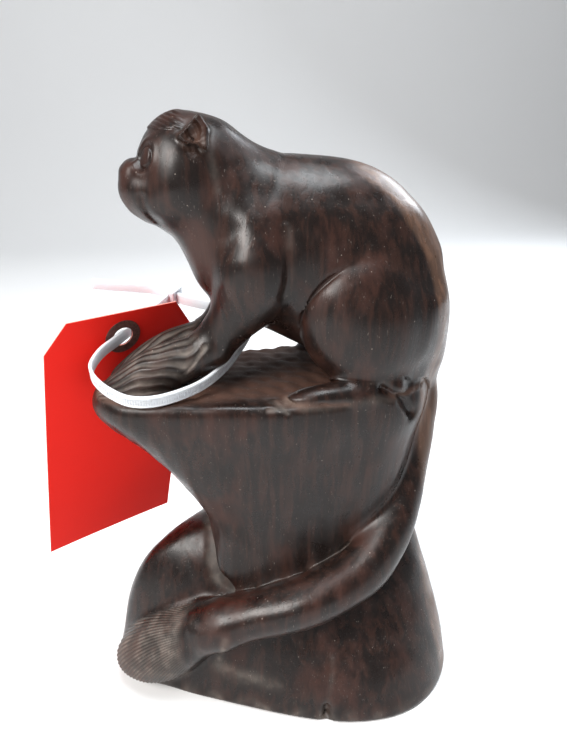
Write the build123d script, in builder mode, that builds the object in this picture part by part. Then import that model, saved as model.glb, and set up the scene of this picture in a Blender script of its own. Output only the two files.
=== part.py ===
from build123d import *
from math import cos, radians, sin
import os

# A dark hardwood carving of a monkey that leans on its hands at the edge of a tree stump.
# A cable tie goes loosely round both wrists and carries a card tag. Millimetres, +Z up, the
# monkey faces -X, its left is -Y, and the origin is at the middle of the underside.

# Root base: reach of its outline to each side, and the height of its mound
base_front = 73.0
base_rear = 72.0
base_near = 52.0
base_far = 42.0
base_height = 67.0

# Tree stump: height of its top, and reach of the ledge to each side
stump_top = 133.0
ledge_front = 72.0
ledge_rear = 54.0
ledge_near = 32.0
ledge_far = 32.0

# Trunk: length from the middle to the rump, height over the stump, widest half width
body_length = 65.0
body_height = 78.0
trunk_half_width = 25.5

# Head
skull_half_length = 16.0
skull_half_width = 17.5
skull_half_height = 19.0
muzzle_half_length = 9.5
muzzle_half_width = 11.5
muzzle_half_height = 10.2
ear_width = 10.5
ear_height = 11.5
ear_stand = 12.5
ear_round = 1.2
ear_taper = 6.0
ear_dish = 3.4
eye_half_width = 3.6
eye_half_height = 3.9
eye_half_thick = 2.2

# Arms and hands: widest half sizes, and distance from the middle plane
arm_half_depth = 11.0
arm_half_width = 8.6
arm_spread = 19.0
right_arm_setback = 3.0
hand_length = 41.0
hand_half_width = 8.0
hand_half_height = 7.4
hand_spread = 8.2

# Hind legs
haunch_half_length = 21.0
haunch_half_width = 14.0
haunch_half_height = 25.0
haunch_spread = 17.5
haunch_tilt = 24.0
foot_length = 40.0
foot_half_width = 5.4
foot_half_height = 4.2
foot_spread = 26.8
right_foot_setback = 13.0

# Tail: thickest radius, and the tuft's half sizes
tail_radius = 9.6
tuft_half_width = 12.5
tuft_half_height = 13.0

# Cable tie: strap section, loop as measured from the tag's hole, locking head
strap_width = 4.8
strap_thick = 1.3
strap_tilt = 19.4
loop_reach = 50.0
tie_head_along = 19.6
tie_head_across = 25.7
tie_head_depth = 6.6
tie_head_height = 5.2
tie_head_width = 7.6
tie_head_round = 0.6
slot_clearance = 0.35
slot_run = 6.0
loose_end_start = 7.0
loose_end_length = 23.0
loose_end_turn = 25.0
loose_end_round = 12.0

# Card tag: sheet, reinforcing patches, and the place of its hole
tag_length = 120.65
tag_width = 60.3
tag_thick = 0.45
tag_clip_width = 8.1
tag_clip_length = 11.7
tag_turn = 30.5
tag_lean = 18.2
patch_radius = 7.1
patch_thick = 0.25
hole_radius = 4.0
hole_drop = 10.8
hole_front = 60.1
hole_far = 10.3
hole_rise = 15.2

sides = [("left", -1, 0, 0), ("right", 1, right_arm_setback, right_foot_setback)]


def on_stump(along_share, rise_share, spread):
    """A point of the monkey: shares of the body's length and of its height over the stump."""
    return Vector(along_share * body_length, spread, stump_top + rise_share * body_height)


def on_skull(along_share, across_share, up_share):
    """A step from the middle of the skull, in shares of its half sizes."""
    return Vector(
        along_share * skull_half_length, across_share * skull_half_width, up_share * skull_half_height
    )


def swell(stations):
    """A rounded form through upright ellipses: centre, heading in the XZ plane, half sizes."""
    with BuildPart() as form:
        for centre, heading, half_across, half_tall in stations:
            with BuildSketch(Plane(origin=centre, x_dir=(0, 1, 0), z_dir=heading)):
                Ellipse(half_across, half_tall)
        loft()
    return form.part


def tube(stations):
    """A rounded form along a path in space: each station is a centre and two half sizes."""
    outward = Vector(0.3, -1, 0.3)
    centres = [centre for centre, half_out, half_up in stations]
    with BuildPart() as form:
        for index, (centre, half_out, half_up) in enumerate(stations):
            before = centres[max(index - 1, 0)]
            after = centres[min(index + 1, len(centres) - 1)]
            heading = (after - before).normalized()
            across = outward - heading * outward.dot(heading)
            with BuildSketch(Plane(origin=centre, x_dir=across, z_dir=heading)):
                Ellipse(half_out, half_up)
        loft()
    return form.part


def egg(place, half_sizes):
    """An egg on a plane, with half sizes along the plane's three axes."""
    with BuildPart() as unit:
        Sphere(1)
        scale(by=half_sizes)
    with BuildPart(place) as form:
        add(unit.part)
    return form.part


def stack(ring_shares, level_shares, reaches, height):
    """A solid through smooth closed outlines, one above the other, from shares of its reaches."""
    front, rear, near, far = reaches
    with BuildPart() as form:
        for rise_share, front_share, rear_share, near_share, far_share in level_shares:
            points = []
            for along_share, across_share in ring_shares:
                along = front * front_share if along_share < 0 else rear * rear_share
                across = near * near_share if across_share < 0 else far * far_share
                points.append((along_share * along, across_share * across))
            with BuildSketch(Plane.XY.offset(rise_share * height)):
                with BuildLine():
                    Spline(points, periodic=True)
                make_face()
        loft()
    return form.part


os.makedirs("parts", exist_ok=True)

# Root base: a mound that flares at the near rear corner
base_ring_shares = [
    (-1.0, -0.1), (-0.76, -0.39), (-0.34, -0.69), (0.2, -0.98), (0.62, -0.97),
    (0.92, -0.62), (1.0, 0.0), (0.86, 0.62), (0.36, 0.98), (-0.3, 0.96), (-0.8, 0.62),
]
base_level_shares = [
    (0.0, 1.0, 1.0, 1.0, 1.0),
    (0.28, 0.94, 0.96, 0.83, 0.93),
    (0.58, 0.87, 0.89, 0.62, 0.84),
    (0.84, 0.70, 0.82, 0.42, 0.74),
    (1.0, 0.40, 0.77, 0.28, 0.60),
]
base_reaches = (base_front, base_rear, base_near, base_far)
with BuildPart() as base:
    add(stack(base_ring_shares, base_level_shares, base_reaches, base_height))
base.part.label = "base"
export_step(base.part, "parts/base.step")

# Stump: a neck that spreads to a pointed ledge under the hands
ledge_ring_shares = [
    (-1.0, -0.06), (-0.95, -0.42), (-0.85, -0.62), (-0.65, -0.78), (-0.2, -0.95),
    (0.35, -1.0), (0.85, -0.74), (1.0, 0.0), (0.85, 0.74), (0.35, 1.0),
    (-0.2, 0.94), (-0.65, 0.64), (-0.85, 0.42), (-0.95, 0.24),
]
stump_level_shares = [
    (0.32, 0.36, 0.80, 0.78, 0.86),
    (0.50, 0.44, 0.84, 0.80, 0.84),
    (0.66, 0.545, 0.88, 0.85, 0.87),
    (0.78, 0.705, 0.92, 0.90, 0.91),
    (0.88, 0.888, 0.96, 0.96, 0.96),
    (0.955, 1.0, 1.0, 1.0, 1.0),
    (1.0, 0.965, 0.97, 0.965, 0.965),
]
ledge_reaches = (ledge_front, ledge_rear, ledge_near, ledge_far)
with BuildPart() as stump:
    add(stack(ledge_ring_shares, stump_level_shares, ledge_reaches, stump_top))
    add(base.part, mode=Mode.SUBTRACT)
stump.part.label = "stump"
export_step(stump.part, "parts/stump.step")

# Trunk: sections from a point of the back line to a point of the belly line
trunk_shares = [
    (-0.42, 1.180, -0.63, 0.718, 0.62),
    (-0.25, 1.128, -0.55, 0.641, 0.69),
    (-0.09, 1.051, -0.48, 0.500, 0.78),
    (0.128, 1.024, -0.35, 0.365, 0.90),
    (0.370, 1.000, -0.12, 0.263, 0.96),
    (0.606, 0.911, 0.09, 0.167, 1.00),
    (0.797, 0.741, 0.28, 0.064, 0.98),
    (0.922, 0.514, 0.48, -0.026, 0.84),
    (0.982, 0.291, 0.68, -0.077, 0.58),
    (1.0, 0.128, 0.83, -0.103, 0.36),
]
trunk_stations = []
for back_share, back_rise_share, belly_share, belly_rise_share, wide_share in trunk_shares:
    back_point = on_stump(back_share, back_rise_share, 0)
    belly_point = on_stump(belly_share, belly_rise_share, 0)
    upward = back_point - belly_point
    heading = Vector(upward.Z, 0, -upward.X)
    middle = (back_point + belly_point) / 2
    trunk_stations.append((middle, heading, trunk_half_width * wide_share, upward.length / 2))
trunk = swell(trunk_stations)
neck_cut_shares = (-0.2, 0.74)
neck_cut_way = (0.86, 0, -0.51)
neck_cut = Plane(origin=on_stump(*neck_cut_shares, 0), x_dir=(0, 1, 0), z_dir=neck_cut_way)

with BuildPart() as torso:
    add(trunk)
    split(bisect_by=neck_cut, keep=Keep.TOP)
    add(stump.part, mode=Mode.SUBTRACT)
torso.part.label = "torso"
export_step(torso.part, "parts/torso.step")

# Head: a round skull on the neck
skull_shares = (-0.508, 0.955)
skull_middle = on_stump(*skull_shares, 0)
skull = egg(Plane(origin=skull_middle), (skull_half_length, skull_half_width, skull_half_height))
with BuildPart() as head:
    add(skull)
head.part.label = "head"
export_step(head.part, "parts/head.step")

# Ears: pointed, dished and set high on the skull
ear_shares = [(-0.52, 0.34), (-0.30, 0.08), (0.46, -0.08), (0.52, 0.56), (0.22, 1.0)]
ear_root_shares = (0.134, -0.42, 0.308)
ear_look = (0, -1, 0.18)
ear_root = skull_middle + on_skull(*ear_root_shares)
ear_place = Plane(origin=ear_root, x_dir=(1, 0, 0), z_dir=ear_look)
dish_middle = ear_place.from_local_coords((0, ear_height / 2, ear_stand))
dish_place = Plane(origin=dish_middle, x_dir=(1, 0, 0), z_dir=ear_look)
with BuildPart() as ear_block:
    with BuildSketch(ear_place) as ear_outline:
        with BuildLine():
            Polyline([(x * ear_width, y * ear_height) for x, y in ear_shares], close=True)
        make_face()
        fillet(ear_outline.vertices(), ear_round)
    extrude(amount=ear_stand, taper=ear_taper)
    add(egg(dish_place, (ear_width / 4, ear_height / 4, ear_dish)), mode=Mode.SUBTRACT)
ear_blocks = [ear_block.part, mirror(ear_block.part, about=Plane.XZ)]
for (side_name, side, arm_back, foot_back), block in zip(sides, ear_blocks):
    with BuildPart() as ear:
        add(block)
        add(skull, mode=Mode.SUBTRACT)
    ear.part.label = f"{side_name}_ear"
    export_step(ear.part, f"parts/{side_name}_ear.step")

# Neck: the front of the trunk, up to the skull and the ears
with BuildPart() as neck:
    add(trunk)
    split(bisect_by=neck_cut, keep=Keep.BOTTOM)
    add(skull, mode=Mode.SUBTRACT)
    add(ear_blocks, mode=Mode.SUBTRACT)
neck.part.label = "neck"
export_step(neck.part, "parts/neck.step")

# Muzzle: a round snout, low on the face
muzzle_shares = (-0.8125, 0, -0.267)
muzzle_middle = skull_middle + on_skull(*muzzle_shares)
muzzle_sizes = (muzzle_half_length, muzzle_half_width, muzzle_half_height)
with BuildPart() as muzzle:
    add(egg(Plane(origin=muzzle_middle), muzzle_sizes))
    add(skull, mode=Mode.SUBTRACT)
    add(neck.part, mode=Mode.SUBTRACT)
muzzle.part.label = "muzzle"
export_step(muzzle.part, "parts/muzzle.step")

# Eyes: low domes that look forward and out
eye_place_shares = (-0.731, 0.62, 0.274)
eye_look_shares = (-0.766, 0.597, 0.241)
for side_name, side, arm_back, foot_back in sides:
    look_along, look_across, look_up = eye_look_shares
    eye_look = Vector(look_along, side * look_across, look_up)
    along_share, across_share, up_share = eye_place_shares
    eye_middle = skull_middle + on_skull(along_share, side * across_share, up_share)
    eye_place = Plane(origin=eye_middle, x_dir=eye_look.cross(Vector(0, 0, 1)), z_dir=eye_look)
    with BuildPart() as eye:
        add(egg(eye_place, (eye_half_width, eye_half_height, eye_half_thick)))
        add(skull, mode=Mode.SUBTRACT)
        add(muzzle.part, mode=Mode.SUBTRACT)
    eye.part.label = f"{side_name}_eye"
    export_step(eye.part, f"parts/{side_name}_eye.step")

# Arms: from the shoulder down to the wrist, drawn in towards the middle
arm_shares = [
    (-0.185, 0.86, 0.74, 0.72, 0.80, (-0.03, -1.0)),
    (-0.188, 0.73, 0.95, 0.88, 0.99, (-0.03, -1.0)),
    (-0.194, 0.59, 1.00, 0.97, 1.00, (-0.04, -1.0)),
    (-0.212, 0.487, 0.95, 1.00, 0.95, (-0.30, -0.95)),
    (-0.292, 0.359, 0.71, 0.75, 0.84, (-0.62, -0.78)),
    (-0.369, 0.269, 0.53, 0.64, 0.74, (-0.68, -0.73)),
    (-0.446, 0.192, 0.45, 0.54, 0.66, (-0.70, -0.71)),
    (-0.510, 0.140, 0.42, 0.46, 0.60, (-0.74, -0.67)),
]
# Hands: from the wrist to the fingertips on the ledge
hand_shares = [
    (0.0, 0.205, 1.16, 0.80, 0.74, (-0.72, -0.69)),
    (-0.20, 0.160, 1.05, 0.92, 0.90, (-0.85, -0.53)),
    (-0.45, 0.112, 1.00, 0.97, 1.00, (-0.92, -0.39)),
    (-0.72, 0.052, 0.95, 0.74, 0.95, (-0.92, -0.39)),
    (-0.95, -0.005, 0.82, 0.36, 0.62, (-0.90, -0.43)),
]
hand_start_share = -0.415
for side_name, side, arm_back, foot_back in sides:
    arm_stations = []
    for along_share, rise_share, spread_share, deep_share, wide_share, (turn_x, turn_z) in arm_shares:
        centre = on_stump(along_share, rise_share, side * arm_spread * spread_share)
        centre = centre + Vector(arm_back, 0, 0)
        half_across = arm_half_width * wide_share
        half_deep = arm_half_depth * deep_share
        arm_stations.append((centre, (turn_x, 0, turn_z), half_across, half_deep))
    with BuildPart() as arm:
        add(swell(arm_stations))
        add(torso.part, mode=Mode.SUBTRACT)
        add(neck.part, mode=Mode.SUBTRACT)
    arm.part.label = f"{side_name}_arm"
    export_step(arm.part, f"parts/{side_name}_arm.step")

    hand_stations = []
    for along_share, rise_share, spread_share, tall_share, wide_share, (turn_x, turn_z) in hand_shares:
        centre = on_stump(hand_start_share, rise_share, side * hand_spread * spread_share)
        centre = centre + Vector(along_share * hand_length + arm_back, 0, 0)
        half_across = hand_half_width * wide_share
        half_tall = hand_half_height * tall_share
        hand_stations.append((centre, (turn_x, 0, turn_z), half_across, half_tall))
    with BuildPart() as hand:
        add(swell(hand_stations))
        add(arm.part, mode=Mode.SUBTRACT)
        add(stump.part, mode=Mode.SUBTRACT)
    hand.part.label = f"{side_name}_hand"
    export_step(hand.part, f"parts/{side_name}_hand.step")

# Haunches: folded thighs on each side of the rump
haunch_shares = (0.385, 0.335)
haunch_sizes = (haunch_half_length, haunch_half_width, haunch_half_height)
# Feet: along the lip of the ledge, toes forward
foot_shares = [
    (-0.10, -0.012, 0.45, 0.60),
    (0.08, 0.006, 0.88, 0.94),
    (0.34, 0.014, 1.00, 1.00),
    (0.66, 0.022, 1.00, 0.95),
    (0.95, 0.026, 0.80, 0.75),
]
for side_name, side, arm_back, foot_back in sides:
    haunch_middle = on_stump(*haunch_shares, side * haunch_spread)
    with BuildPart() as haunch:
        add(egg(Plane(origin=haunch_middle).rotated((0, -haunch_tilt, 0)), haunch_sizes))
        add(torso.part, mode=Mode.SUBTRACT)
        add(stump.part, mode=Mode.SUBTRACT)
    haunch.part.label = f"{side_name}_haunch"
    export_step(haunch.part, f"parts/{side_name}_haunch.step")

    foot_stations = []
    for along_share, rise_share, tall_share, wide_share in foot_shares:
        centre = on_stump(0, rise_share, side * foot_spread)
        centre = centre + Vector(along_share * foot_length + foot_back, 0, 0)
        half_across = foot_half_width * wide_share
        foot_stations.append((centre, (1, 0, 0), half_across, foot_half_height * tall_share))
    with BuildPart() as foot:
        add(swell(foot_stations))
        add(haunch.part, mode=Mode.SUBTRACT)
        add(torso.part, mode=Mode.SUBTRACT)
        add(stump.part, mode=Mode.SUBTRACT)
    foot.part.label = f"{side_name}_foot"
    export_step(foot.part, f"parts/{side_name}_foot.step")

# Tail: down the rear of the stump and round the near side of the base
tail_shares = [
    (0.762, 0.0, 1.020, 0.88),
    (0.757, -0.05, 0.905, 0.86),
    (0.712, -0.15, 0.775, 0.78),
    (0.632, -0.31, 0.640, 0.80),
    (0.535, -0.46, 0.552, 0.87),
    (0.360, -0.585, 0.462, 0.95),
    (0.165, -0.655, 0.405, 1.00),
    (-0.055, -0.655, 0.362, 0.97),
    (-0.290, -0.580, 0.318, 0.93),
    (-0.500, -0.490, 0.262, 0.93),
]
tail_stations = []
for along_share, across_share, rise_share, thick_share in tail_shares:
    along = along_share * (base_rear if along_share > 0 else base_front)
    centre = Vector(along, across_share * base_near, rise_share * stump_top)
    tail_stations.append((centre, tail_radius * thick_share, tail_radius * thick_share))
with BuildPart() as tail:
    add(tube(tail_stations))
    add(torso.part, mode=Mode.SUBTRACT)
    add(stump.part, mode=Mode.SUBTRACT)
    add(base.part, mode=Mode.SUBTRACT)
tail.part.label = "tail"
export_step(tail.part, "parts/tail.step")

# Tuft: the brush at the tail's end, flat where it meets the ground
tuft_shares = [
    (-0.480, -0.500, 0.275, 0.70, 0.72),
    (-0.620, -0.420, 0.205, 0.90, 0.90),
    (-0.760, -0.330, 0.140, 1.00, 1.00),
    (-0.890, -0.220, 0.085, 0.82, 0.84),
    (-0.965, -0.140, 0.050, 0.42, 0.45),
]
tuft_stations = []
for along_share, across_share, rise_share, wide_share, tall_share in tuft_shares:
    centre = Vector(along_share * base_front, across_share * base_near, rise_share * stump_top)
    tuft_stations.append((centre, tuft_half_width * wide_share, tuft_half_height * tall_share))
with BuildPart() as tail_tuft:
    add(tube(tuft_stations))
    split(bisect_by=Plane.XY, keep=Keep.TOP)
    add(tail.part, mode=Mode.SUBTRACT)
    add(base.part, mode=Mode.SUBTRACT)
tail_tuft.part.label = "tail_tuft"
export_step(tail_tuft.part, "parts/tail_tuft.step")

# Cable tie: a strap bent edgewise to a tilted plane through the tag's hole
hole_middle = Vector(-hole_front, hole_far, stump_top + hole_rise)
tie_place = Plane(
    origin=hole_middle,
    x_dir=(1, 0, 0),
    z_dir=(0, -sin(radians(strap_tilt)), cos(radians(strap_tilt))),
)
tie_head_middle = Vector(tie_head_along, tie_head_across)
root_way = -tie_head_middle.normalized()
pass_way = Vector(root_way.Y, -root_way.X)
loop_shares = [
    (0.0, 0.0), (-0.142, -0.178), (-0.204, -0.330), (-0.150, -0.528), (0.056, -0.720), (0.200, -0.744),
    (0.370, -0.706), (0.562, -0.606), (0.734, -0.432), (0.880, -0.202), (0.990, 0.030), (1.004, 0.160),
    (0.915, 0.256), (0.690, 0.346),
]
slot_start = tie_head_middle - pass_way * slot_run
slot_end = tie_head_middle + pass_way * loose_end_start
loop_points = [tie_head_middle + root_way * (tie_head_depth / 2)]
loop_points += [Vector(x * loop_reach, y * loop_reach) for x, y in loop_shares] + [slot_start]
with BuildPart() as tie_strap:
    with BuildSketch(tie_place):
        with BuildLine() as strap_line:
            Spline(loop_points, tangents=[root_way, pass_way])
            Line(slot_start, slot_end)
            loose_bend = JernArc(slot_end, pass_way, loose_end_round, loose_end_turn)
            Line(loose_bend @ 1, loose_bend @ 1 + loose_bend % 1 * loose_end_length)
        trace(strap_line.line.edges(), line_width=strap_thick)
    extrude(amount=strap_width / 2, both=True)
tie_strap.part.label = "tie_strap"
export_step(tie_strap.part, "parts/tie_strap.step")

# Locking head: a slotted block on the root of the strap
head_middle = tie_place.from_local_coords(tie_head_middle)
head_way = tie_place.from_local_coords(tie_head_middle + pass_way) - head_middle
head_place = Plane(origin=head_middle, x_dir=head_way, z_dir=tie_place.z_dir)
slot_height = strap_thick + 2 * slot_clearance
slot_width = strap_width + 2 * slot_clearance
with BuildPart(head_place) as tie_head:
    Box(tie_head_height, tie_head_depth, tie_head_width)
    fillet(tie_head.edges(), tie_head_round)
    Box(2 * tie_head_height, slot_height, slot_width, mode=Mode.SUBTRACT)
tie_head.part.label = "tie_head"
export_step(tie_head.part, "parts/tie_head.step")

# Card tag: it hangs from its hole, with a patch on each face
tag_turned = Vector(cos(radians(tag_turn)), sin(radians(tag_turn)), 0)
tag_level = Vector(-tag_turned.Y, tag_turned.X, 0)
tag_back = tag_level * cos(radians(tag_lean)) + Vector(0, 0, sin(radians(tag_lean)))
tag_place = Plane(origin=hole_middle, x_dir=tag_turned, z_dir=-tag_back)
half_tag = tag_width / 2
tag_outline = [
    (-half_tag, hole_drop - tag_length),
    (half_tag, hole_drop - tag_length),
    (half_tag, hole_drop - tag_clip_length),
    (half_tag - tag_clip_width, hole_drop),
    (tag_clip_width - half_tag, hole_drop),
    (-half_tag, hole_drop - tag_clip_length),
]
with BuildPart() as tag_card:
    with BuildSketch(tag_place):
        with BuildLine():
            Polyline(tag_outline, close=True)
        make_face()
        Circle(hole_radius, mode=Mode.SUBTRACT)
    extrude(amount=tag_thick / 2, both=True)
tag_card.part.label = "tag_card"
export_step(tag_card.part, "parts/tag_card.step")

for patch_name, facing in (("tag_front_patch", 1), ("tag_back_patch", -1)):
    with BuildPart() as patch:
        with BuildSketch(tag_place.offset(facing * tag_thick / 2)):
            Circle(patch_radius)
            Circle(hole_radius, mode=Mode.SUBTRACT)
        extrude(amount=facing * patch_thick)
    patch.part.label = patch_name
    export_step(patch.part, f"parts/{patch_name}.step")
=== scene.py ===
# %% [markdown]
# # A carved monkey on a tree stump
# The object is a dark hardwood carving that stands on a table. A nylon cable tie goes round the
# wrists and carries a red card tag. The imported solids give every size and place, so this lesson
# only dresses them: the blocked-out forms become one flowing carving, and each finish is made
# from nodes. Lengths are worked out in millimetres and turned into metres when a mesh is made.

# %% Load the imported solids
import bpy
import bmesh
import math
import numpy as np
import openvdb
from mathutils import Matrix, Vector


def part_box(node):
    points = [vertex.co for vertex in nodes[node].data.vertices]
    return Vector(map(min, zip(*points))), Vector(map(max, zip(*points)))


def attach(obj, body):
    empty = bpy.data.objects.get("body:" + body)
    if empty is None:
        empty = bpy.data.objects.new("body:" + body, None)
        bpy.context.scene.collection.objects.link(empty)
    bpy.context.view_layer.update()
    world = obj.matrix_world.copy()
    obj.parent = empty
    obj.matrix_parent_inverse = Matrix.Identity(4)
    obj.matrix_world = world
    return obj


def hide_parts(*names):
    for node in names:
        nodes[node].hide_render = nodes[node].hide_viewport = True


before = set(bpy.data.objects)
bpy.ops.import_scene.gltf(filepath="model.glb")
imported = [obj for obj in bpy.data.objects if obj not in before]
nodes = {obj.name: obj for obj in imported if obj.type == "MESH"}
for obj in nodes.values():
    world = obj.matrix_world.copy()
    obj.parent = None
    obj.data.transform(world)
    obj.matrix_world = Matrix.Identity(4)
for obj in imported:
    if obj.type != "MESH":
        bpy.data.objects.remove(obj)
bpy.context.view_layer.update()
scene = bpy.context.scene
print("solids:", len(nodes))

# %% [markdown]
# ## The camera
# The photo was taken from close by with a phone, a little above the monkey, so the lens is wide
# and the verticals lean together. The place and the lens were solved from the tag's corners.

# %% Camera
lens = bpy.data.cameras.new("camera")
lens.sensor_width = 36.0
lens.lens = 29.05
lens.clip_start = 0.01
camera = bpy.data.objects.new("camera", lens)
scene.collection.objects.link(camera)
camera.location = (-0.0382, -0.2167, 0.222)
camera.rotation_euler = (math.radians(67.5), 0, math.radians(-10))
scene.camera = camera

# %% [markdown]
# ## From blocks to wood
# A carver starts from blocks and lets them run into each other. A level set does the same: it
# holds, at each point of a grid, the distance to a solid's surface. The smaller of two distances
# joins two solids, and rounding that choice off leaves a soft valley between them, as a gouge
# would. Carved lines are small sums that push the surface in.

# %% Distances to the solids
MM = 1000.0  # millimetres in a metre
solid_meshes = {}


def solid_mesh(name):
    """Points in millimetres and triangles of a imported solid."""
    if name not in solid_meshes:
        data = nodes[name].data
        points = np.empty(len(data.vertices) * 3, np.float32)
        data.vertices.foreach_get("co", points)
        data.calc_loop_triangles()
        triangles = np.empty(len(data.loop_triangles) * 3, np.int32)
        data.loop_triangles.foreach_get("vertices", triangles)
        solid_meshes[name] = (points.reshape(-1, 3) * MM, triangles.reshape(-1, 3).astype(np.uint32))
    return solid_meshes[name]


class Block:
    """A box of grid points, with the step between them and how far distances reach."""

    def __init__(self, low, high, step, reach):
        self.step = step
        self.band = int(math.ceil(reach / step))
        self.first = [int(math.floor(v / step)) for v in low]
        last = [int(math.ceil(v / step)) for v in high]
        self.shape = [b - a + 1 for a, b in zip(self.first, last)]
        axes = [(a + np.arange(n)) * step for a, n in zip(self.first, self.shape)]
        self.x = axes[0].astype(np.float32)[:, None, None]
        self.y = axes[1].astype(np.float32)[None, :, None]
        self.z = axes[2].astype(np.float32)[None, None, :]

    def distance(self, name):
        points, triangles = solid_mesh(name)
        far = self.band * self.step
        field = np.full(self.shape, far, np.float32)
        low, high = points.min(0), points.max(0)
        ends = [(f * self.step, (f + n) * self.step) for f, n in zip(self.first, self.shape)]
        if any(h + far < a or l - far > b for l, h, (a, b) in zip(low, high, ends)):
            return None
        grid = openvdb.FloatGrid.createLevelSetFromPolygons(
            points, triangles=triangles, transform=openvdb.createLinearTransform(voxelSize=self.step),
            halfWidth=self.band)
        grid.copyToArray(field, ijk=self.first)
        return field

    def sample(self, values, points):
        """Values of the grid at points, weighted from the eight corners of each cell."""
        place = points / self.step - np.array(self.first)
        cell = np.clip(np.floor(place).astype(int), 0, np.array(self.shape) - 2)
        part = place - cell
        total = 0
        for corner in np.ndindex(2, 2, 2):
            weight = np.prod(np.where(corner, part, 1 - part), axis=1)
            total = total + weight * values[tuple((cell + corner).T)]
        return total


def fade(value, start, end):
    """0 at the start, 1 at the end, and smooth between them."""
    share = np.clip((value - start) / (end - start), 0, 1)
    return share * share * (3 - 2 * share)


def soft_join(a, b, soft):
    """The union of two distances, with a valley of about this width filled between them."""
    nearer = np.minimum(a, b)
    share = np.maximum(soft - np.abs(a - b), 0) / np.maximum(soft, 1e-6)
    return nearer - share * share * soft / 4 * fade(nearer, 4.0, 1.5)


def ripple(block, wave, seed, stretch=(1, 1, 1)):
    """A smooth unevenness between about -1 and 1, from a few waves in fixed random directions."""
    dice = np.random.default_rng(seed)
    total = np.zeros(block.shape, np.float32)
    for _ in range(6):
        way = dice.normal(size=3)
        way = way / np.linalg.norm(way) * 2 * math.pi / (wave * dice.uniform(0.7, 1.4))
        turn = dice.uniform(0, 2 * math.pi)
        total += np.sin(block.x * way[0] / stretch[0] + block.y * way[1] / stretch[1]
                        + block.z * way[2] / stretch[2] + turn)
    return total / 3.0


def smooth(field, reach, rounds=3):
    """The field averaged over this many neighbours to each side, which rounds off facets and edges."""
    width = 2 * reach + 1
    for axis in range(3):
        for _ in range(rounds):
            margin = [(reach + 1, reach) if a == axis else (0, 0) for a in range(3)]
            total = np.moveaxis(np.cumsum(np.pad(field, margin, mode="edge"), axis), axis, 0)
            field = np.moveaxis((total[width:] - total[:-width]) / width, 0, axis)
    return field


# %% [markdown]
# ## The carver's lines
# Lines are drawn in the plane of the monkey's profile. Those of the sides are cut into both sides
# alike, those of the middle shape the profile itself, and the last ones are only on the near side.
# Each adds its depth to the field, and some also hold pale dust, as wax and dust gather where a
# cloth doesn't reach.

# %% Cut lines
def line_gap(a, b, path):
    """Distance of points of a plane to a chain of straight lines."""
    best = None
    for (a0, b0), (a1, b1) in zip(path, path[1:]):
        da, db = a1 - a0, b1 - b0
        share = np.clip(((a - a0) * da + (b - b0) * db) / (da * da + db * db), 0, 1)
        gap = np.hypot(a - a0 - share * da, b - b0 - share * db)
        best = gap if best is None else np.minimum(best, gap)
    return best


# path in the profile plane, least distance from the middle plane (below zero: greatest), width,
# depth (below zero: wood is left standing) and dust
side_lines = [
    # edge of the cheek, behind the ear, rear of the arm
    ([(-47.6, 200.6), (-47.1, 198.6), (-45.6, 195.4), (-43.6, 192.9)], 6.0, 1.4, 0.8, 0.0),
    ([(-26.0, 218.7), (-25.1, 210.8), (-24.5, 203.4)], 9.0, 1.2, 0.2, 0.3),
    ([(-3.4, 192.1), (-2.4, 183.6), (-2.9, 175.4), (-4.1, 170.1)], 12.0, 1.8, 0.8, 0.1),
    # undercut of the haunch, wrist, filled valley between haunch and rump
    ([(30.0, 136.3), (36.2, 133.1), (42.5, 124.6)], 12.0, 2.1, 1.7, 0.0),
    ([(-37.9, 141.6), (-34.5, 145.4), (-30.3, 151.2)], 6.0, 0.7, 0.4, 0.9),
    ([(50.5, 164.0), (50.0, 150.4), (48.0, 140.5)], 10.0, 6.0, -1.2, 0.0),
]
rump_path = [(64.0, 174.0), (66.5, 162.0), (67.0, 150.0), (67.5, 138.0), (67.0, 124.0), (66.0, 112.0)]
middle_lines = [
    # top of the muzzle, bridge of the nose, chin, rump and root of the tail
    ([(-54.3, 209.5), (-52.6, 210.6)], -7.0, 2.6, -1.1, 0.0),
    ([(-48.6, 212.4), (-46.5, 211.6)], -6.0, 1.5, 0.6, 0.0),
    ([(-52.6, 196.4), (-50.2, 194.4)], -14.0, 4.5, 0.8, 0.0),
    (rump_path, -40.0, 6.0, 1.8, 0.0),
]
near_lines = [
    # three splits at the nick in the ledge
    ([(-13.0, 135.4), (-8.0, 133.4), (-4.0, 130.6)], 26.0, 0.6, 0.7, 0.9),
    ([(-9.0, 135.6), (-5.0, 133.6), (-1.0, 132.8)], 26.0, 0.6, 0.7, 0.9),
    ([(-11.0, 131.5), (-7.0, 131.8), (-3.0, 133.0)], 27.0, 0.5, 0.5, 0.7),
    # notch in the foot of the base and the crack above it
    ([(9.0, -1.0), (9.7, 5.0)], 20.0, 2.0, 2.2, 0.3),
    ([(9.9, 6.0), (11.0, 12.0), (12.6, 19.0), (13.0, 24.1)], 20.0, 0.7, 0.25, 0.15),
    # pale drip and dusty patch on the base
    ([(-29.4, 40.0), (-30.6, 31.0), (-30.2, 26.0), (-31.7, 18.7)], 20.0, 1.2, 0.1, 1.0),
    ([(-33.0, 16.0), (-24.0, 13.0), (-10.0, 12.5)], 20.0, 2.5, 0.0, 0.35),
]


def cut_lines(block):
    """Relief (plus goes into the wood) and dust of the drawn lines."""
    relief = np.zeros(block.shape, np.float32)
    dust = np.zeros(block.shape, np.float32)
    sides = np.abs(block.y)
    for lines, across in ((side_lines, sides), (middle_lines, -sides), (near_lines, -block.y)):
        for path, least, width, depth, pale in lines:
            cut = np.exp(-(line_gap(block.x, block.z, path) / width) ** 2) * fade(across, least - 2, least)
            relief += depth * cut
            dust = np.maximum(dust, pale * cut)
    return relief, dust


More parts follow.
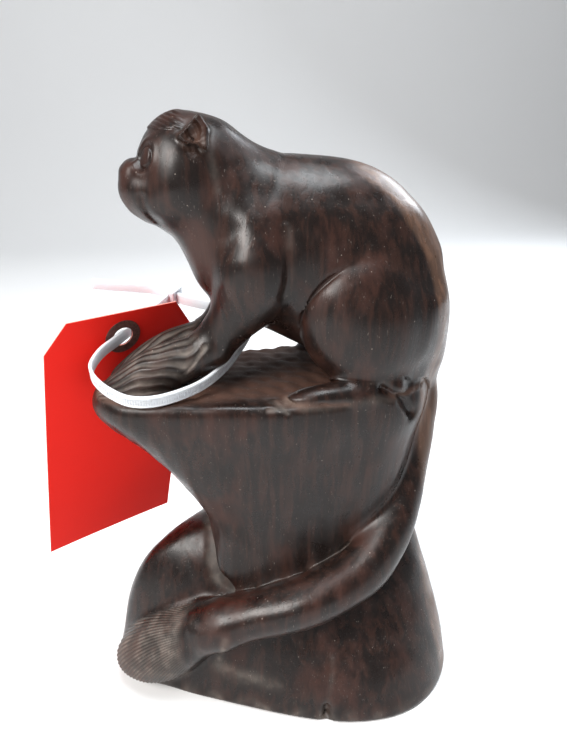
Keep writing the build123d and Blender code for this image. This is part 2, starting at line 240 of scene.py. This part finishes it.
# %% [markdown]
# ## Face, hands and tuft
# The finest carving sits here: a ring cut round each eyeball, cheeks, a cap of hair that steps
# over the forehead, hollow ears, fingers as wavy ridges, and the hair of the tail's brush, which
# fans out from the tail.

# %% Fine carving
eye_x, eye_y, eye_z, ring_radius, rim_radius = -46.2, 9.4, 213.2, 3.5, 5.1
cheek_x, cheek_z, cheek_reach = -39.5, 200.5, 6.5
hairline, stroke_pitch = 220.9, 1.35
ear_x, ear_z, ear_reach = -30.4, 218.0, 2.7
wrist_y, wrist_z, finger_pitch = -1.5, 126.0, 0.125
brush_x, brush_up, hair_pitch = -26.8, 18.4, 0.037


def face(block):
    x, y, z = block.x, np.abs(block.y), block.z
    eye = np.sqrt(((x - eye_x) / 0.95) ** 2 + ((y - eye_y) / 0.95) ** 2 + ((z - eye_z) / 1.15) ** 2)
    ring = 0.95 * np.exp(-((eye - ring_radius) / 0.65) ** 2)
    relief = ring - 0.3 * np.exp(-((eye - rim_radius) / 1.0) ** 2)
    cheek = np.hypot(x - cheek_x, z - cheek_z)
    relief = relief - 1.3 * np.exp(-(cheek / cheek_reach) ** 2) * fade(y, 6, 11)
    cap = fade(x, -32, -36) * fade(z, hairline, 221.5)
    stroke = 0.375 * x + 0.927 * z
    return relief - cap * (0.45 - 0.3 * np.cos(2 * math.pi * stroke / stroke_pitch) * fade(y, 1, 4))


def ear_hollow(block):
    gap = np.hypot(block.x - ear_x, (block.z - ear_z) * 0.75)
    return np.exp(-(gap / ear_reach) ** 2) * fade(np.abs(block.y), 14, 16)


def lines_at(lane, width):
    """1 along each whole number of the lane, and 0 between them."""
    return np.exp(-((lane - np.round(lane)) / width) ** 2)


def fingers(block):
    x, y, z = block.x, block.y, block.z
    spoke = np.arctan2(y - wrist_y, z - wrist_z)
    wave = 0.035 * np.sin(0.23 * x + 3 * spoke) + 0.015 * np.sin(0.55 * x - 5 * spoke)
    groove = lines_at((spoke + wave) / finger_pitch, 0.26)
    return groove * fade(x, -31, -38) * fade(z, 131.5, 134)


def brush(block):
    x, up = block.x, 0.7 * block.z + 0.72 * (block.y + 25)
    reach = np.hypot(x - brush_x, up - brush_up)
    angle = np.arctan2(up - brush_up, -(x - brush_x)) + 0.010 * (reach - 20)
    return lines_at(angle / hair_pitch, 0.28) * fade(reach, 18.5, 22) * fade(x, -38, -42)


# %% [markdown]
# ## The joins of the carving
# Each solid is joined to what came before it with its own softness: the shoulder flows into the
# trunk, the haunch keeps a crease, the fingers lie sharply on the ledge. A crease is cut where two
# surfaces meet, and dust settles in it.

# %% Join the solids
# solid, growth, softness, depth and width of the crease, dust in it
joins = [
    ("base", 0.0, 0.0, 0.0, 1.0, 0.0), ("stump", 0.0, 1.6, 1.5, 1.7, 0.8),
    ("torso", 0.0, 1.6, 0.5, 1.5, 0.15), ("neck", 0.0, 0.0, 0.0, 1.0, 0.0),
    ("tail", 0.4, 2.0, 0.9, 1.3, 0.7), ("tail_tuft", 0.2, 5.0, 0.3, 1.0, 0.3),
    ("left_haunch", 1.0, 2.2, 1.0, 1.8, 0.08), ("right_haunch", 1.0, 2.2, 1.0, 1.8, 0.08),
    ("left_foot", 0.3, 2.0, 0.4, 1.2, 0.3), ("right_foot", 0.3, 2.0, 0.4, 1.2, 0.3),
    ("left_arm", 0.3, 7.0, 0.0, 1.0, 0.0), ("right_arm", 0.3, 7.0, 0.0, 1.0, 0.0),
    ("left_hand", 1.0, 3.5, 0.0, 1.2, 0.5), ("right_hand", 1.0, 3.5, 0.0, 1.2, 0.5),
    ("head", 0.2, 3.0, 0.0, 1.0, 0.0), ("muzzle", 0.2, 3.4, 0.0, 1.0, 0.0),
    ("left_ear", 0.5, 1.2, 0.2, 1.0, 0.2), ("right_ear", 0.5, 1.2, 0.2, 1.0, 0.2),
    ("left_eye", 0.0, 0.3, 0.0, 1.0, 0.0), ("right_eye", 0.0, 0.3, 0.0, 1.0, 0.0),
]


def blend_of(block, name, growth, soft, depth):
    """Growth, softness and crease depth of a join, where these change along or up the carving."""
    x, z = block.x, block.z
    if name.endswith("haunch"):
        rear = fade(x, 10, 34)
        return growth, soft + rear * (4 + 5 * fade(z, 178, 162)), depth * (1 - rear)
    if name.endswith("arm"):
        return growth - 3 * fade(z, 181, 193), soft, depth
    if name == "left_foot":
        return growth - fade(x, 22, 30), soft + 3 * fade(x, 14, 22), depth * fade(x, 24, 16)
    if name == "right_foot":
        return growth - 6 * fade(x, 26, 36), soft + 3 * fade(x, 20, 28), depth * fade(x, 30, 22)
    if name == "muzzle":
        return growth, soft + 6 * fade(z, 204, 195), depth
    if name == "tail":
        return growth - 0.9 * fade(z, 50, 75), soft + 6 * fade(z, 106, 118), depth * fade(z, 118, 106)
    return growth, soft, depth


def join_solids(block, own_nodes):
    """The joined field, where the piece's own wood ends, its creases, their dust, and each distance."""
    far = np.full(block.shape, block.band * block.step, np.float32)
    field = own = other = far
    reaches = {"stump": far, "hands": far, "tail_tuft": far}
    dust = np.zeros(block.shape, np.float32)
    creases = np.zeros(block.shape, np.float32)
    rump = fade(block.x, 33, 43) * fade(block.z, 122, 132) * fade(block.z, 180, 166)
    for name, growth, soft, depth, width, pale in joins:
        distance = block.distance(name)
        if name == "left_foot" and rump.any():
            field = field + rump * (smooth(field, round(3.0 / block.step)) - field)
        if name == "left_ear":
            field = smooth(field, max(1, round(1.1 / block.step)))
        if distance is None:
            continue
        if name in own_nodes:
            own = np.minimum(own, distance)
        else:
            other = np.minimum(other, distance)
        place = "hands" if name.endswith("hand") else name
        if place in reaches:
            reaches[place] = np.minimum(reaches[place], distance)
        if name.endswith("eye"):
            continue
        growth, soft, depth = blend_of(block, name, growth, soft, depth)
        seam = np.exp(-(field ** 2 + distance ** 2) / width ** 2)
        creases = np.maximum(creases, depth * seam * (1 - 0.85 * rump))
        dust = np.maximum(dust, pale * seam)
        field = soft_join(field, distance - growth, soft)
    return field, (own - other) / 2, creases, dust, reaches


finger_depth, hair_depth, hollow_depth, bare_depth, grain_depth = 0.5, 0.4, 1.8, 0.3, 0.16


def carve(block, own_nodes):
    """The carved field of a block, where its own wood ends, and dust and bare wood by place."""
    field, border, creases, dust, reaches = join_solids(block, own_nodes)
    relief, pale = cut_lines(block)
    on_stump = fade(reaches["stump"], 1.5, 0.5)
    finger = fingers(block) * fade(reaches["hands"], 3.0, 1.5)
    hair = brush(block) * fade(reaches["tail_tuft"], 2.0, 1.0)
    hollow = ear_hollow(block)
    bare = np.maximum(fade(block.y, -26, -19), fade(block.x, -10, -3))
    top = fade(block.z, 131.6, 132.6) * fade(block.z, 135.5, 134.5) * on_stump * bare
    low_wood = fade(block.z, 128, 118) * on_stump
    relief = relief + creases + face(block) + finger_depth * finger + hair_depth * hair
    relief = relief + hollow * (hollow_depth + 0.5 * ripple(block, 1.8, 4))
    relief = relief + bare_depth * top * ripple(block, 5.0, 8)
    relief = relief + grain_depth * low_wood * ripple(block, 8.0, 5, (1, 1, 7)) + 0.1 * ripple(block, 12.0, 3)
    relief = relief + 0.15 * fade(block.z, 70, 50) * ripple(block, 24.0, 6)
    dust = np.maximum(np.maximum(dust, pale), np.maximum(0.9 * finger, hair))
    dust = np.maximum(dust, 0.45 * fade(block.z, 7, 1) * fade(ripple(block, 9.0, 2), -0.6, 0.8))
    field = field + relief * fade(block.z, 0.2, 2.5)
    return np.maximum(field, -block.z), border, dust, np.maximum(top, hollow)


def wood_piece(name, own_nodes, step, margin, reach=6.0, overlap=0.8):
    """One closed piece of the carving, in place of these solids."""
    corners = [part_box(n) for n in own_nodes]
    low = [min(c[0][i] for c in corners) * MM - margin for i in range(3)]
    high = [max(c[1][i] for c in corners) * MM + margin for i in range(3)]
    block = Block(low, high, step, reach)
    field, border, dust, top = carve(block, own_nodes)
    grid = openvdb.FloatGrid()
    grid.copyFromArray(np.maximum(field, border - overlap).astype(np.float32), ijk=block.first)
    grid.transform = openvdb.createLinearTransform(voxelSize=step)
    points, quads = grid.convertToQuads(0.0)
    mesh = bpy.data.meshes.new(name)
    mesh.from_pydata(points / MM, [], quads)
    mesh.shade_smooth()
    for label, values in (("dust", dust), ("ledge", top)):
        mesh.attributes.new(label, "FLOAT", "POINT").data.foreach_set("value", block.sample(values, points))
    slopes = [block.sample(slope, points) for slope in np.gradient(field)]
    normals = np.stack(slopes, 1)
    normals /= np.maximum(np.linalg.norm(normals, axis=1, keepdims=True), 1e-6)
    mesh.normals_split_custom_set_from_vertices(normals)
    piece = bpy.data.objects.new(name, mesh)
    scene.collection.objects.link(piece)
    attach(piece, "carving")
    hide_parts(*own_nodes)
    print(name, block.shape, "faces", len(quads))
    return piece


wood_parts = {
    "carved_base": (["base"], 0.8, 4),
    "carved_stump": (["stump", "left_foot", "right_foot"], 0.65, 10),
    "carved_body": (["torso", "neck", "left_arm", "right_arm", "left_haunch", "right_haunch"], 0.6, 10),
    "carved_head": (["head", "muzzle", "left_ear", "right_ear", "left_eye", "right_eye"], 0.36, 4),
    "carved_hands": (["left_hand", "right_hand"], 0.36, 4),
    "carved_tail": (["tail"], 0.6, 10),
    "carved_tuft": (["tail_tuft"], 0.36, 4),
}
wood_pieces = [wood_piece(name, *given) for name, given in wood_parts.items()]

# %% [markdown]
# ## Painting with nodes
# A finish is a sum of simple patterns, so the numbers in it are written as plain sums and
# products. This small class turns each of them into a Math node.

# %% Shader maths
class Number:
    """A number in a material: sums and products of these become Math nodes."""

    def __init__(self, paint, socket):
        self.paint, self.socket = paint, socket

    def math(self, operation, first, second=0.0):
        node = self.paint.node("ShaderNodeMath", {"operation": operation}, first, second)
        return Number(self.paint, node.outputs[0])

    def __add__(self, other):
        return self.math("ADD", self, other)

    def __sub__(self, other):
        return self.math("SUBTRACT", self, other)

    def __rsub__(self, other):
        return self.math("SUBTRACT", other, self)

    def __mul__(self, other):
        return self.math("MULTIPLY", self, other)

    def __pow__(self, other):
        return self.math("POWER", self, other)

    __radd__, __rmul__ = __add__, __mul__

    def rise(self, start, end):
        """0 below the start, 1 above the end, and smooth between them."""
        kind = {"interpolation_type": "SMOOTHSTEP"}
        step = self.paint.node("ShaderNodeMapRange", kind, self, start, end, 0.0, 1.0)
        return Number(self.paint, step.outputs[0])


class Paint:
    """A material with one principled shader, and short ways to add nodes to it."""

    def __init__(self, name):
        self.material = bpy.data.materials.new(name)
        self.material.use_nodes = True
        self.tree = self.material.node_tree
        self.shader = self.tree.nodes["Principled BSDF"]
        self.place = self.node("ShaderNodeTexCoord").outputs["Object"]

    def put(self, socket, value):
        source = getattr(value, "socket", value)
        if isinstance(source, bpy.types.NodeSocket):
            self.tree.links.new(source, socket)
        else:
            socket.default_value = source

    def node(self, kind, settings=None, *values, **named):
        node = self.tree.nodes.new(kind)
        for key, value in (settings or {}).items():
            setattr(node, key, value)
        for socket, value in zip(node.inputs, values):
            self.put(socket, value)
        for key, value in named.items():
            self.put(node.inputs[key], value)
        return node

    def attribute(self, name):
        return Number(self, self.node("ShaderNodeAttribute", {"attribute_name": name}).outputs["Fac"])

    def stretched(self, along, across, upward):
        """The place in millimetres, squeezed or stretched along each axis."""
        ways = (along * MM, across * MM, upward * MM)
        return self.node("ShaderNodeVectorMath", {"operation": "MULTIPLY"}, self.place, ways).outputs[0]

    def noise(self, vector, scale, detail=2.0, rough=0.5, twist=0.0):
        node = self.node("ShaderNodeTexNoise", None, Vector=vector, Scale=scale, Detail=detail,
                         Roughness=rough, Distortion=twist)
        return Number(self, node.outputs["Fac"])

    def blend(self, share, first, second):
        node = self.node("ShaderNodeMix", {"data_type": "RGBA"}, Factor=share)
        self.put(node.inputs[6], first if not isinstance(first, tuple) else (*first, 1))
        self.put(node.inputs[7], second if not isinstance(second, tuple) else (*second, 1))
        return node.outputs[2]

    def relief(self, height, strength, distance):
        bump = self.node("ShaderNodeBump", None, Strength=strength, Distance=distance, Height=height)
        return bump.outputs[0]

    def finish(self, **values):
        for key, value in values.items():
            self.put(self.shader.inputs[key.replace("_", " ")], value)
        return self.material


# %% [markdown]
# ## Dark wood
# The wood is nearly black, with brown streaks that run up the trunk of the tree, reddish patches
# where the polish is worn, open pores with pale dust and a lighter sapwood at the outside of the
# back, the tail and the base. The ledge was never polished.

# %% Wood
paint = Paint("dark_wood")
dust = paint.attribute("dust")
ledge = paint.attribute("ledge")
split = paint.node("ShaderNodeSeparateXYZ", None, paint.stretched(1, 1, 1))
x, z = Number(paint, split.outputs[0]), Number(paint, split.outputs[2])
grain = paint.stretched(1, 1, 0.1)
fine_grain = paint.stretched(1, 1, 0.22)
even = paint.stretched(1, 1, 1)
streaks = paint.noise(grain, 0.32, 4, 0.6, 0.4).rise(0.42, 0.66)
patches = paint.noise(paint.stretched(1, 1, 0.5), 0.06, 4, 0.6).rise(0.48, 0.68)
pores = paint.noise(fine_grain, 2.2, 2, 0.6).rise(0.64, 0.74)
cloud = paint.noise(even, 0.16, 3).rise(0.4, 0.7)
speck = paint.noise(even, 1.1, 3, 0.65).rise(0.62, 0.74)
dots = paint.node("ShaderNodeTexVoronoi", None, Vector=even, Scale=0.33)
size = Number(paint, paint.node("ShaderNodeSeparateColor", None, dots.outputs["Color"]).outputs[0])
motes = (size * 0.10 - Number(paint, dots.outputs["Distance"])).rise(0.0, 0.05)
bow = ((x + 20) ** 2 + (z - 152) ** 2) ** 0.5
wander = 7.0 * (paint.noise(grain, 0.07, 3) - 0.5)
rear = (bow + wander).rise(70.0, 72.5) * z.rise(118, 135) * x.rise(15, 32)
low_rear = (x + 0.1 * z + wander).rise(60, 64) * z.rise(135, 118)
sapwood = (rear + low_rear) * (0.55 + 0.45 * streaks)

colour = paint.blend(streaks, (0.0078, 0.0046, 0.0038), (0.0230, 0.0106, 0.0076))
colour = paint.blend(0.55 * patches, colour, (0.046, 0.0165, 0.0110))
colour = paint.blend(0.75 * sapwood, colour, (0.150, 0.078, 0.047))
colour = paint.blend(0.8 * ledge, colour, (0.075, 0.036, 0.024))
pale = 0.28 * pores * cloud + 0.5 * dust * (0.35 + 0.65 * cloud) + 0.3 * ledge * speck + 0.5 * motes
colour = paint.blend(pale, colour, (0.34, 0.29, 0.25))
rough = 0.27 + 0.1 * cloud + 0.38 * ledge + 0.4 * dust + 0.12 * patches
height = 0.5 * streaks - 1.0 * pores + 1.2 * ledge * speck
wood = paint.finish(Base_Color=colour, Roughness=rough, Specular_IOR_Level=0.3,
                    Normal=paint.relief(height, 0.25, 0.0002))
for piece in wood_pieces:
    piece.data.materials.append(wood)

# %% [markdown]
# ## The cable tie
# A cable tie is moulded nylon: a strap with a shallow channel, fine teeth across the channel, and
# a locking head. The strap is bent round a route in one tilted plane, so its section is swept
# along a curve in that plane and the teeth are copied along it, then all of it is tilted.

# %% Route of the strap
hole = Vector((-60.1, 10.3, 148.2))
tilt = math.radians(19.4)
tie_plane = Matrix.Translation(hole) @ Matrix.Rotation(tilt, 4, "X")
head_place = np.array((19.6, 25.7))
root_way = -head_place / np.linalg.norm(head_place)
pass_way = np.array((root_way[1], -root_way[0]))
loop_mm = 50 * np.array([
    (0.0, 0.0), (-0.142, -0.178), (-0.204, -0.330), (-0.198, -0.428), (-0.150, -0.528), (-0.066, -0.628),
    (0.056, -0.720), (0.200, -0.744), (0.370, -0.706), (0.562, -0.606), (0.734, -0.432), (0.880, -0.202),
    (0.990, 0.030), (1.004, 0.160), (0.915, 0.256), (0.690, 0.346)])


def smooth_route(points, count):
    """A curve through the points, with count steps between each two of them."""
    route = []
    ends = np.concatenate([[2 * points[0] - points[1]], points, [2 * points[-1] - points[-2]]])
    for p0, p1, p2, p3 in zip(ends, ends[1:], ends[2:], ends[3:]):
        for t in np.arange(count) / count:
            route.append(p1 + 0.5 * t * (p2 - p0 + t * (2 * p0 - 5 * p1 + 4 * p2 - p3
                                                        + t * (3 * (p1 - p2) + p3 - p0))))
    return np.array(route + [points[-1]])


loose_turn = math.radians(25)
root_reach, slot_reach, bend_reach, bend_radius, loose_length = 2.6, 6, 7, 12, 23
turn = np.array([(math.cos(loose_turn), -math.sin(loose_turn)),
                 (math.sin(loose_turn), math.cos(loose_turn))])
bend_start = head_place + bend_reach * pass_way
loose_way = turn @ pass_way
bend_end = bend_start + bend_radius * math.tan(loose_turn / 2) * (pass_way + loose_way)
route = smooth_route(np.concatenate([
    [head_place + root_reach * root_way], loop_mm,
    [head_place - slot_reach * pass_way, head_place, bend_start, bend_end,
     bend_end + loose_length / 2 * loose_way, bend_end + loose_length * loose_way]]), 8)
print("strap route:", round(float(np.linalg.norm(np.diff(route, axis=0), axis=1).sum()), 1), "mm")

# %% [markdown]
# The section and the teeth are swept by a node tree, whose inputs are the section, the pitch of
# the teeth and the material.

# %% Sweep of the strap
def chain(name, points, closed=False):
    """A straight-edged curve through points of a plane."""
    data = bpy.data.curves.new(name, "CURVE")
    data.dimensions = "3D"
    line = data.splines.new("POLY")
    line.points.add(len(points) - 1)
    for point, (px, py) in zip(line.points, points):
        point.co = (px, py, 0, 1)
    line.use_cyclic_u = closed
    holder = bpy.data.objects.new(name, data)
    scene.collection.objects.link(holder)
    return holder


def strap_tree():
    """Sweep a section along a curve and set teeth across it."""
    tree = bpy.data.node_groups.new("ribbed_strap", "GeometryNodeTree")
    kinds = {"Geometry": "NodeSocketGeometry", "Section": "NodeSocketObject", "Pitch": "NodeSocketFloat",
             "Tooth": "NodeSocketVector", "Lift": "NodeSocketFloat", "Material": "NodeSocketMaterial"}
    for name, kind in kinds.items():
        tree.interface.new_socket(name, in_out="INPUT", socket_type=kind)
    tree.interface.new_socket("Geometry", in_out="OUTPUT", socket_type="NodeSocketGeometry")

    def node(kind, settings=None, **sockets):
        made = tree.nodes.new(kind)
        for key, value in (settings or {}).items():
            setattr(made, key, value)
        for key, value in sockets.items():
            socket = made.inputs[key.replace("_", " ")]
            if isinstance(value, bpy.types.NodeSocket):
                tree.links.new(value, socket)
            else:
                socket.default_value = value
        return made

    given = node("NodeGroupInput").outputs
    level = node("GeometryNodeSetCurveNormal", {"mode": "Z_UP"}, Curve=given["Geometry"])
    section = node("GeometryNodeObjectInfo", None, Object=given["Section"])
    band = node("GeometryNodeCurveToMesh", None, Curve=level.outputs[0],
                Profile_Curve=section.outputs["Geometry"], Fill_Caps=True)
    stops = node("GeometryNodeCurveToPoints", {"mode": "LENGTH"}, Curve=level.outputs[0],
                 Length=given["Pitch"])
    tooth = node("GeometryNodeMeshCube", None, Size=given["Tooth"])
    lift = node("ShaderNodeCombineXYZ", None, X=given["Lift"])
    raised = node("GeometryNodeTransform", None, Geometry=tooth.outputs[0], Translation=lift.outputs[0])
    teeth = node("GeometryNodeInstanceOnPoints", None, Points=stops.outputs["Points"],
                 Instance=raised.outputs[0], Rotation=stops.outputs["Rotation"])
    joined = node("GeometryNodeJoinGeometry")
    tree.links.new(band.outputs[0], joined.inputs[0])
    tree.links.new(teeth.outputs[0], joined.inputs[0])
    plain = node("GeometryNodeRealizeInstances", None, Geometry=joined.outputs[0])
    painted = node("GeometryNodeSetMaterial", None, Geometry=plain.outputs[0], Material=given["Material"])
    tree.links.new(painted.outputs[0], node("NodeGroupOutput").inputs[0])
    return tree


paint = Paint("nylon")
haze = paint.noise(paint.stretched(1, 1, 1), 0.35, 2)
nylon_colour = paint.blend(haze, (0.80, 0.84, 0.90), (0.88, 0.90, 0.93))
nylon = paint.finish(Base_Color=nylon_colour, Roughness=0.3 + 0.12 * haze, Subsurface_Weight=0.35,
                     Subsurface_Radius=(0.002, 0.002, 0.002), Subsurface_Scale=1.0,
                     Transmission_Weight=0.22, IOR=1.5)

half_width, half_thick, channel, edge = 2.4, 0.6, 0.3, 0.22
section_mm = [
    (-half_thick + edge, -half_width), (half_thick - edge, -half_width), (half_thick, -half_width + edge),
    (half_thick, -1.35), (half_thick - channel, -1.2), (half_thick - channel, 1.2), (half_thick, 1.35),
    (half_thick, half_width - edge), (half_thick - edge, half_width), (-half_thick + edge, half_width),
    (-half_thick, half_width - edge), (-half_thick, -half_width + edge)]
path_holder = chain("strap_route", route)
section_holder = chain("strap_section", section_mm, closed=True)
sweep = path_holder.modifiers.new("strap", "NODES")
tree = strap_tree()
settings = {"Section": section_holder, "Pitch": 0.85, "Tooth": (0.3, 2.5, 0.42), "Lift": half_thick - 0.15,
            "Material": nylon}
sweep.node_group = tree
for socket in tree.interface.items_tree:
    if socket.item_type == "SOCKET" and socket.name in settings:
        sweep[socket.identifier] = settings[socket.name]
bpy.context.view_layer.update()
swept = path_holder.evaluated_get(bpy.context.evaluated_depsgraph_get())
strap_mesh = bpy.data.meshes.new_from_object(swept)
strap_mesh.transform(Matrix.Scale(1 / MM, 4) @ tie_plane)
bpy.data.objects.remove(path_holder)
bpy.data.objects.remove(section_holder)
strap = bpy.data.objects.new("ribbed_strap", strap_mesh)
scene.collection.objects.link(strap)
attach(strap, "cable_tie")
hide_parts("tie_strap")

# %% [markdown]
# The head is a small block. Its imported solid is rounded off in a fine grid, like a moulded part.

# %% Locking head
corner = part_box("tie_head")
block = Block([v * MM - 1 for v in corner[0]], [v * MM + 1 for v in corner[1]], 0.16, 1.5)
grid = openvdb.FloatGrid()
grid.copyFromArray(smooth(block.distance("tie_head"), 1).astype(np.float32), ijk=block.first)
grid.transform = openvdb.createLinearTransform(voxelSize=block.step)
points, quads = grid.convertToQuads(0.0)
lock_mesh = bpy.data.meshes.new("lock")
lock_mesh.from_pydata(points / MM, [], quads)
lock_mesh.shade_smooth()
lock_mesh.materials.append(nylon)
lock = bpy.data.objects.new("lock", lock_mesh)
scene.collection.objects.link(lock)
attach(lock, "cable_tie")
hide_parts("tie_head")
print("lock faces:", len(quads))

# %% [markdown]
# ## The tag
# The tag is stamped from dyed card, so its cut edges are paler than its faces. The flat solid is
# cut into squares and given the slight curl of a card that has been handled.

# %% Card
across = Vector((math.cos(math.radians(30.5)), math.sin(math.radians(30.5)), 0))
lean = math.radians(18.2)
facing = -(Vector((-across.y, across.x, 0)) * math.cos(lean) + Vector((0, 0, math.sin(lean))))
upward = facing.cross(across)


def squares(mesh, spacing):
    """A mesh form of a solid's triangles, cut along lines of the tag at this spacing."""
    shape = bmesh.new()
    shape.from_mesh(mesh)
    bmesh.ops.dissolve_limit(shape, angle_limit=math.radians(1), verts=shape.verts, edges=shape.edges)
    for way, low, high in ((across, -30, 30), (upward, -108, 10)):
        for stop in np.arange(low + spacing / 2, high, spacing):
            bmesh.ops.bisect_plane(shape, geom=[*shape.verts, *shape.edges, *shape.faces], dist=1e-7,
                                   plane_co=(hole + way * float(stop)) / MM, plane_no=way)
    return shape


def tag_piece(name, node, material, spacing):
    shape = squares(nodes[node].data, spacing)
    rim = shape.faces.layers.float.new("rim")
    for face in shape.faces:
        face.normal_update()
        face[rim] = 1.0 - min(1.0, abs(face.normal.dot(facing)) * 1.2)
    for vertex in shape.verts:
        reach = vertex.co * MM - hole
        u, v = reach.dot(across), reach.dot(upward)
        vertex.co += facing * ((0.9 * (v / 110) ** 2 + 0.35 * (u / 30) ** 2 * (v / 110) ** 2) / MM)
    mesh = bpy.data.meshes.new(name)
    shape.to_mesh(mesh)
    shape.free()
    mesh.materials.append(material)
    piece = bpy.data.objects.new(name, mesh)
    scene.collection.objects.link(piece)
    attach(piece, "tag")
    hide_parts(node)
    print(name, "faces", len(mesh.polygons))


paint = Paint("red_card")
rim = paint.attribute("rim")
fibre = paint.noise(paint.stretched(1, 1, 1), 1.4, 4, 0.7)
cloud = paint.noise(paint.stretched(1, 1, 1), 0.05, 2)
red = paint.blend(fibre, (0.90, 0.012, 0.005), (0.97, 0.018, 0.008))
red = paint.blend(0.3 * cloud, red, (0.82, 0.010, 0.005))
red = paint.blend(0.8 * rim, red, (0.92, 0.42, 0.34))
card = paint.finish(Base_Color=red, Roughness=0.65 + 0.15 * fibre, Specular_IOR_Level=0.25,
                    Normal=paint.relief(fibre, 0.12, 0.0001))

paint = Paint("patch_card")
fibre = paint.noise(paint.stretched(1, 1, 1), 1.1, 4, 0.7)
brown = paint.blend(fibre.rise(0.35, 0.65), (0.075, 0.022, 0.017), (0.16, 0.062, 0.05))
patch = paint.finish(Base_Color=brown, Roughness=0.6 + 0.15 * fibre, Normal=paint.relief(fibre, 0.2, 0.0001))

square = 5.0
tag_piece("card", "tag_card", card, square)
tag_piece("front_patch", "tag_front_patch", patch, square)
tag_piece("back_patch", "tag_back_patch", patch, square)

# %% [markdown]
# ## Floor and light
# A pale sweep stands in for the table and the wall. The light comes from three large soft panels:
# one overhead and a cool one at the rear draw the highlights along the back, and one at the front
# left draws those on the shoulder, the knee and the tail.

# %% Floor and backdrop
profile = [(-2.0, 0.0), (1.0, 0.0)]
for step in range(1, 13):
    angle = math.radians(90 * step / 12)
    profile.append((1.0 + 0.6 * math.sin(angle), 0.6 - 0.6 * math.cos(angle)))
profile.append((1.6, 3.0))
verts = [(side, py, pz) for py, pz in profile for side in (-3.0, 3.0)]
faces = [(2 * i, 2 * i + 1, 2 * i + 3, 2 * i + 2) for i in range(len(profile) - 1)]
sweep_mesh = bpy.data.meshes.new("studio_sweep")
sweep_mesh.from_pydata(verts, [], faces)
sweep_mesh.shade_smooth()
paint = Paint("studio_paper")
tone = paint.noise(paint.place, 3.0, 2)
sweep_mesh.materials.append(paint.finish(
    Base_Color=paint.blend(tone, (0.80, 0.80, 0.80), (0.83, 0.83, 0.83)), Roughness=0.7))
studio = bpy.data.objects.new("studio_sweep", sweep_mesh)
scene.collection.objects.link(studio)

# %% Lights
world = bpy.data.worlds.new("world")
scene.world = world
world.use_nodes = True
background = world.node_tree.nodes["Background"]
background.inputs["Color"].default_value = (0.86, 0.89, 0.93, 1)
background.inputs["Strength"].default_value = 0.32


def panel(name, place, size, power, colour, aim=(0, 0, 0.12)):
    lamp = bpy.data.lights.new(name, "AREA")
    lamp.shape = "RECTANGLE"
    lamp.size, lamp.size_y = size
    lamp.energy = power
    lamp.color = colour
    holder = bpy.data.objects.new(name, lamp)
    scene.collection.objects.link(holder)
    holder.location = place
    holder.rotation_euler = (Vector(aim) - Vector(place)).to_track_quat("-Z", "Y").to_euler()


panel("overhead", (0.1, -0.1, 1.0), (0.6, 0.4), 10.0, (0.93, 0.97, 1.0))
panel("rear", (0.8, 0.6, 0.75), (0.45, 0.6), 10.0, (0.88, 0.94, 1.0))
panel("front", (-0.66, -0.5, 0.72), (0.5, 0.45), 15.0, (1.0, 0.97, 0.94))

# %% [markdown]
# ## Colour view
# The colours are shown through the standard view transform. The dressed carving has to keep to the
# box of the imported solids.

# %% Finish
scene.view_settings.view_transform = "Standard"
